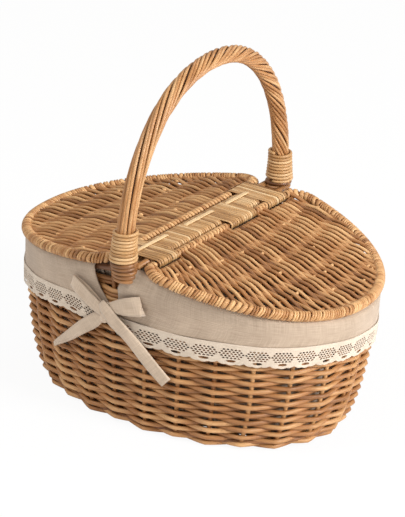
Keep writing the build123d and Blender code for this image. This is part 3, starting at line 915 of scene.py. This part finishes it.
def make_foot_and_collar(name, side):
    """One handle foot driven down into the wall, the band round it, and the collar above it."""
    rods = Rods()
    path = turned(collar_path(), -side)
    shade = 0.06 * np.sin(np.arange(len(path)) / 17)
    rods.add(path, collar_cane_radius, (0, 0, 1), 10, 0.55, shade=shade)
    rods.piece(f"{name}_collar_cane", cane, f"{name}_collar_winding")
    rods = Rods()
    bottom, top = foot_height + course_height * (full_courses + 3), handle_spring_height
    for k in range(8):
        way = 2 * pi * k / 8
        path = []
        for share in np.linspace(0, 1, 12):
            y = side * (waist_half_width + 2) * (1 - share) + side * handle_half_span * share
            across, deep = 7.4 + 2.1 * share, 3.0 + 6.2 * share**2
            path.append((across * cos(way), y + deep * sin(way), bottom + (top - bottom) * share))
        rods.add(path, 2.7, (0, 1, 0), 10, 0.38 + random.gauss(0, 0.08))
    for k, z in enumerate(foot_band_heights):
        share = (z - bottom) / (top - bottom)
        y = side * (waist_half_width + 6) * (1 - share) + side * handle_half_span * share
        across, deep = 10.4 + 2.0 * share, 7.0 + 5.0 * share
        way = turn_angles(24)
        path = np.column_stack([across * np.cos(way), y + deep * np.sin(way), z + 0.8 * np.cos(way)])
        rods.add(path, 2.3, (0, 0, 1), 10, 0.42 - 0.04 * k, closed=True)
    rods.piece(f"{name}_foot_rods", handle_willow, f"{name}_handle_foot")


make_handle()
make_foot_and_collar("near", -1)
make_foot_and_collar("far", 1)

# Cloth

cloth_thickness = 0.9
rim_drop = 6.6 / cos(lid_angle)
skirt_stand = 6.5
lace_height = 24.0
lace_thickness = 0.7
lace_length = 472.0
lace_mesh_step = 0.58
tape_thickness = 0.8
eyelet_pitch = 3.4
eyelet_rise = 2.35


def cloth_stand(angle, z):
    """How far the cuffs stand off the wall's middle line, with the slack of cloth that hangs."""
    x, y = wall_point(angle, z)
    slack = 0.5 * sin(0.061 * x + 0.043 * y + 0.02 * z) + 0.35 * sin(0.12 * x - 0.095 * y + 1.3)
    foot = 6.5 * np.exp(-(((x - copysign(6, -y)) / 17) ** 2)) * np.clip((z - 140) / 22, 0, 1)
    return skirt_stand + 0.45 + slack * np.clip((170 - z) / 40, 0.2, 1) + foot


def hem_height(x, y):
    """Height of the cuffs' hem, which rides up beside the bow and sinks towards the nose on that side."""
    far = min(1.0, max(0.0, 0.5 + y / 80))
    rise = 124.5
    for share, along in ((1 - far, x), (far, -x)):
        rise += share * 8.0 * np.exp(-(((along + 70) / 42) ** 2))
        rise -= share * 5.0 * np.exp(-(((along + 175) / 35) ** 2))
    return rise


def notch_edges(z):
    """Where the right cuff starts and ends beside the handle feet, as distances along the basket."""
    near = np.interp(z, (100, 122, 136, 147, 160, 170, 185), (-24, -24, -14, -9, -8, -3, 3))
    far = np.interp(z, (100, 122, 134, 142, 150, 160, 169, 185), (20, 20, 18, 25, 32, 36, 38, 38))
    return near, far


def angle_at(x, z, side):
    """The angle of the wall's point at a distance along the basket, on its near or far side."""
    share = min(1.0, abs(x) / wall_axes(z)[0])
    angle = asin((1 - share**oval_power) ** 0.5)
    angle = angle if x > 0 else pi - angle
    return side * angle


def right_half_angles(z, count):
    """Angles from the right cuff's near edge round the nose to its far edge."""
    near, far = notch_edges(z)
    return np.linspace(angle_at(near, z, -1), angle_at(far, z, 1), count)


def lowered(angle, z):
    """A point of the hem's height range, drawn up towards the knot beside the near and far notches."""
    x, y = wall_point(angle, z)
    near, far = notch_edges(z)
    distance = x - near if y < 0 else x - far
    gather = np.clip(distance / 26, 0, 1) ** 0.7
    return 126 + (z - 126) * (0.35 + 0.65 * gather) if z < 126 else z


def cuff_profile(angle):
    """One line of the right cuff, from inside the wall up over the rim and down to the hem."""
    x, y = wall_point(angle, waist_height)
    top = lid_middle(x) - rim_drop
    line = [(-4.9, top - 17), (-4.9, top - 10)]
    for way in np.linspace(pi, 0, 9):
        line.append((1.0 + 5.9 * cos(way), top - 4.4 + 4.4 * sin(way)))
    hem = hem_height(x, y)
    for share in np.linspace(0, 1, 16)[1:]:
        z = (top - 4.4) * (1 - share) + hem * share
        line.append((cloth_stand(angle, z) * min(1, share * 5) + 6.9 * (1 - min(1, share * 5)), z))
    return line


def make_cuff(name, side):
    """One linen cuff, turned down over the rim from foot to foot, with its hem."""
    count = 220
    grid = []
    for k, angle in enumerate(right_half_angles(150, count)):
        row = []
        for out, z in cuff_profile(angle):
            here = right_half_angles(z, count)[k]
            low = lowered(here, z)
            row.append((*wall_point(here, low, out), low))
        grid.append(row)
    obj = cloth(f"{name}_cuff_linen", turned(grid, side), cloth_thickness, linen)
    return settle(obj, "root", [f"{name}_cuff"])


def lace_field(along, down):
    """Thread at positive values: a solid heading, clusters of eyelets, long slots and a scalloped edge."""
    period = 23.5
    place = (along / period) % 1.0 - 0.5
    across = place * period
    scallop = 2.1 * np.abs(np.sin(pi * along / period)) + 0.9 * np.abs(np.sin(3 * pi * along / period))
    edge = lace_height - 2.6 + scallop - 0.9 - down
    field = edge.copy()
    row = np.round((down - 6.2) / eyelet_rise)
    odd = np.where(row % 2 == 0, 0.0, eyelet_pitch / 2)
    column = np.round((across - odd) / eyelet_pitch)
    centre = column * eyelet_pitch + odd
    eyelet = (np.abs(across - centre) / 1.55 + np.abs(down - 6.2 - row * eyelet_rise) / 1.3 - 1) * 1.1
    among = (row >= 0) & (row <= 4) & (np.abs(centre) < 10.9 - 1.3 * np.abs(row - 1.5))
    field = np.where(among, np.minimum(field, eyelet), field)
    slot = np.hypot(across / 4.4, (down - 19.0) / 1.5) - 1
    return np.minimum(field, slot * 1.35)


def lace_net(length, height, step):
    """Points and faces of the lace laid flat, cut out of a fine grid along the field's zero line."""
    count_x, count_y = int(length / step) + 1, int(height / step) + 1
    xs, ys = np.arange(count_x) * step, np.arange(count_y) * step
    field = lace_field(*np.meshgrid(xs, ys, indexing="ij"))
    points, found, faces = [], {}, []

    def corner(i, j):
        if (i, j) not in found:
            found[i, j] = len(points)
            points.append((xs[i], ys[j]))
        return found[i, j]

    def crossing(i, j, k, m):
        key = (i, j, k, m) if (i, j) < (k, m) else (k, m, i, j)
        if key not in found:
            share = field[i, j] / (field[i, j] - field[k, m])
            share = min(0.95, max(0.05, share))
            found[key] = len(points)
            points.append((xs[i] + (xs[k] - xs[i]) * share, ys[j] + (ys[m] - ys[j]) * share))
        return found[key]

    for i in range(count_x - 1):
        for j in range(count_y - 1):
            around = ((i, j), (i + 1, j), (i + 1, j + 1), (i, j + 1))
            face = []
            for (a, b), (c, d) in zip(around, around[1:] + around[:1]):
                if field[a, b] > 0:
                    face.append(corner(a, b))
                if (field[a, b] > 0) != (field[c, d] > 0):
                    face.append(crossing(a, b, c, d))
            if len(face) > 2:
                faces.append(face)
    return np.array(points), faces


def make_lace(name, side, net):
    """The lace sewn on below the hem of one cuff."""
    flat, flat_faces = net
    count = 400
    length = flat[:, 0].max()
    table = {level: right_half_angles(level, count) for level in range(90, 141, 2)}
    share = flat[:, 0] / length
    front, back = [], []
    for (along, down), part in zip(flat, share):
        angle = np.interp(part * (count - 1), np.arange(count), table[124])
        x, y = wall_point(angle, 124)
        z = hem_height(x, y) + 1.5 - down
        level = int(min(138, max(90, 2 * (z // 2))))
        angle = np.interp(part * (count - 1), np.arange(count), table[level])
        low = lowered(angle, z)
        out = cloth_stand(angle, low) + 0.9 + 0.5 * sin(along * 0.27) * down / lace_height
        front.append((*wall_point(angle, low, out + lace_thickness), low))
        back.append((*wall_point(angle, low, out), low))
    points = turned(front + back, side)
    under = len(front)
    faces = [list(reversed(face)) for face in flat_faces]
    faces += [[under + v for v in face] for face in flat_faces]
    used = {}
    for face in flat_faces:
        for a, b in zip(face, face[1:] + face[:1]):
            used[a, b] = used.get((a, b), 0) + 1
    faces += [[a, b, under + b, under + a] for a, b in used if (b, a) not in used]
    obj = mesh_piece(f"{name}_lace_trim", points, faces, lace_cotton)
    grain = np.column_stack([flat, np.zeros(len(flat))])
    store(obj, "grain", "FLOAT_VECTOR", np.vstack([grain, grain]))
    return settle(obj, "root", [f"{name}_lace"])


def make_liner():
    """The linen liner inside the basket, from under the cuffs down the wall and over the floor."""
    grid = []
    for angle in turn_angles(160):
        top = lid_middle(wall_point(angle, waist_height)[0]) - rim_drop - 6
        row = []
        for share in np.linspace(0, 1, 26):
            z = top * (1 - share) + 17.5 * share
            fold = 0.5 * sin(9 * angle + 0.03 * z) + 0.4 * sin(23 * angle + 1)
            row.append((*wall_point(angle, z, -8.2 - 0.9 * (1 + fold) * sin(pi * share)), z))
        for share in np.linspace(0, 1, 12)[1:]:
            reach = 1 - share * 0.98
            x, y = wall_point(angle, 17.5, -9)
            row.append((x * reach, y * reach, 16.2 + 1.3 * (1 - min(1, share * 4))))
        grid.append(row)
    obj = cloth("liner_linen", grid, cloth_thickness, linen, closed=True)
    return settle(obj, "root", ["liner"])


def front_of(x, z):
    """How far the near cuff's face stands from the basket's middle at a place on it."""
    half_length, half_width = wall_axes(z)
    return oval_reach(half_width, half_length, x) + skirt_stand + 2.2


def ribbon(name, side, route, widths, stands, curl):
    """A flat strip of linen along places in front of the wall, given as pairs of length and height."""
    keys = np.column_stack([route, widths, stands])
    fine = smooth_path(keys, 7)
    ahead = np.gradient(fine[:, :2], axis=0)
    length = np.hypot(*ahead.T)
    across = np.column_stack([-ahead[:, 1], ahead[:, 0]]) / (length[:, None] + 1e-9)
    for k in range(1, len(across)):
        if length[k] < 0.15 * length.max():
            across[k] = across[k - 1]
        across[k] *= copysign(1, across[k] @ across[k - 1])
    grid = []
    for k, (x, z, width, stand) in enumerate(fine):
        row = []
        for place in np.linspace(-0.5, 0.5, 7):
            there_x, there_z = np.array((x, z)) + across[k] * place * width
            lift = stand + curl * (1 - 4 * place**2) + 0.35 * sin(0.35 * k + 5 * place)
            row.append((there_x, -front_of(there_x, min(there_z, 165)) - lift, there_z))
        grid.append(row)
    return cloth(name, turned(grid, side), tape_thickness, lit_tape_linen)


loop_side = [(-36, 136), (-49, 142), (-61, 147)]

# Each strip of a bow: its name, places along and up, widths, stands off the cuff, curl, flat size in
# metres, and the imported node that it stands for
bow_strips = (
    (
        "left_tail",
        [(-26, 126), (-38, 114), (-55, 100), (-73, 84), (-90, 70), (-98, 63)],
        [12, 15, 14, 11, 7, 4.5],
        [3.5, 2.2, 1.5, 1.5, 1.5, 1.5],
        0.8,
        (0.013, 0.098),
        None,
    ),
    (
        "right_tail",
        [(-25, 141), (-18, 135), (-5, 123), (11, 108), (31, 88), (51, 70)],
        [9, 14, 15, 15, 15, 14.5],
        [7.8, 9.4, 7.5, 4, 2.2, 2.2],
        0.7,
        (0.0145, 0.112),
        "tie_tails",
    ),
    (
        "left_loop",
        [(-24, 131), *loop_side, (-68, 150), *reversed(loop_side), (-26, 132)],
        [12, 15, 16, 16, 15, 15, 15, 14, 10],
        [6.5, 6.8, 6.4, 5.4, 3.6, 1.4, 1.0, 1.6, 3],
        0.0,
        (0.0155, 0.098),
        None,
    ),
    (
        "right_loop",
        [(-18, 136), (-6, 141), (6, 145), (17, 148), (22, 149), (16, 146), (6, 142), (-6, 138), (-17, 134)],
        [9, 14, 19, 21.5, 21, 20, 17, 13, 9],
        [6, 8, 8.5, 7, 4.6, 2.4, 2.0, 3, 4],
        0.0,
        (0.0175, 0.088),
        "tie_loops",
    ),
)
knot_place = (-21, 129)


def make_knot(name, side):
    """The knot, a small pillow that leans along the right tail."""
    rows, cols = 17, 24
    tilt = (pi * (np.arange(rows) + 0.5) / rows - pi / 2)[:, None]
    way = turn_angles(cols)[None, :]
    rise = 12.0 * np.sin(tilt) + 0 * way
    x = knot_place[0] + 6.75 * np.cos(tilt) * np.cos(way) + 0.18 * rise
    y = 4.2 * np.cos(tilt) * np.sin(way) - front_of(*knot_place) - 3.6
    points = turned(np.stack([x, y, knot_place[1] + rise], -1), side).reshape(-1, 3)
    faces = grid_faces(rows, cols, False, True).tolist()
    faces.append(list(range(cols))[::-1])
    faces.append(list(range((rows - 1) * cols, rows * cols)))
    knot = mesh_piece(f"{name}_knot", points, faces, lit_tape_linen)
    store(knot, "grain", "FLOAT_VECTOR", points)
    return settle(knot, "root", [f"{name}_tie_knot"])


def make_bow(name, side):
    """The bow tied in front of one handle foot: two tails, two loops and the knot over them."""
    for part, route, widths, stands, curl, flat, node in bow_strips:
        strip = ribbon(f"{name}_{part}", side, route, widths, stands, curl)
        settle(strip, "root", [f"{name}_{node}"] if node else ())
    knot = make_knot(name, side)


net = lace_net(lace_length, lace_height, lace_mesh_step)
for cuff_name, cuff_side in (("right", 1), ("left", -1)):
    cuff = make_cuff(cuff_name, cuff_side)
    lace = make_lace(cuff_name, cuff_side, net)
liner_cloth = make_liner()
make_bow("near", 1)
make_bow("far", -1)

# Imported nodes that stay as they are

border_wood = willow("border_wood", (0.16, 0.065, 0.025), (0.38, 0.18, 0.07), (0.6, 0.35, 0.15))
for node_name in ("right_rim_border", "left_rim_border"):
    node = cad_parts[node_name]
    for material_slot in node.material_slots:
        material_slot.material = border_wood

# Background, lights and floor


ambient_strength = 0.5
ambient_colour = (1, 0.97, 0.93, 1)
floor_whiteness = 0.93
lamps = (
    ("key", (1.95, -0.1, 1.15), 0.7, 50),
    ("fill", (-0.7, -1.3, 2.0), 0.7, 17),
    ("rim", (0.2, 1.5, 1.5), 0.9, 5),
)
lit_point = Vector((0, 0, 0.15))


def shown_white(tree, plain, white, output, share):
    """Mixes white over a plain shader by a share, for the camera's rays alone."""
    seen = math_node(tree, "MULTIPLY", add_node(tree, "LightPath", {}).outputs["Is Camera Ray"], share)
    blend = add_node(tree, "MixShader", {0: seen, 1: plain.outputs[0], 2: white.outputs[0]})
    link(tree, blend.outputs[0], output.inputs[0])


def make_stage():
    """A pale floor, a white background and soft studio lamps."""
    material = bpy.data.materials.new("studio_floor")
    material.use_nodes = True
    tree = material.node_tree
    tree.nodes.clear()
    output = add_node(tree, "OutputMaterial", {})
    matte = add_node(tree, "BsdfDiffuse", {0: (0.9, 0.9, 0.9, 1)})
    shown_white(tree, matte, add_node(tree, "Emission", {}), output, floor_whiteness)
    bpy.ops.mesh.primitive_plane_add(size=16, location=(0, 0, -0.0005))
    floor = bpy.context.object
    floor.name = "studio_floor"
    floor.data.materials.append(material)

    world = bpy.data.worlds.new("studio")
    bpy.context.scene.world = world
    world.use_nodes = True
    tree = world.node_tree
    tree.nodes.clear()
    output = add_node(tree, "OutputWorld", {})
    sky = add_node(tree, "Background", {"Strength": ambient_strength, "Color": ambient_colour})
    shown_white(tree, sky, add_node(tree, "Background", {}), output, 1.0)

    for name, place, size, power in lamps:
        data = bpy.data.lights.new(name, "AREA")
        data.energy = power
        data.size = size
        lamp = bpy.data.objects.new(name, data)
        lamp.location = place
        lamp.rotation_euler = (lit_point - Vector(place)).to_track_quat("-Z", "Y").to_euler()
        bpy.context.scene.collection.objects.link(lamp)


make_stage()

bpy.context.scene.view_settings.view_transform = "Standard"
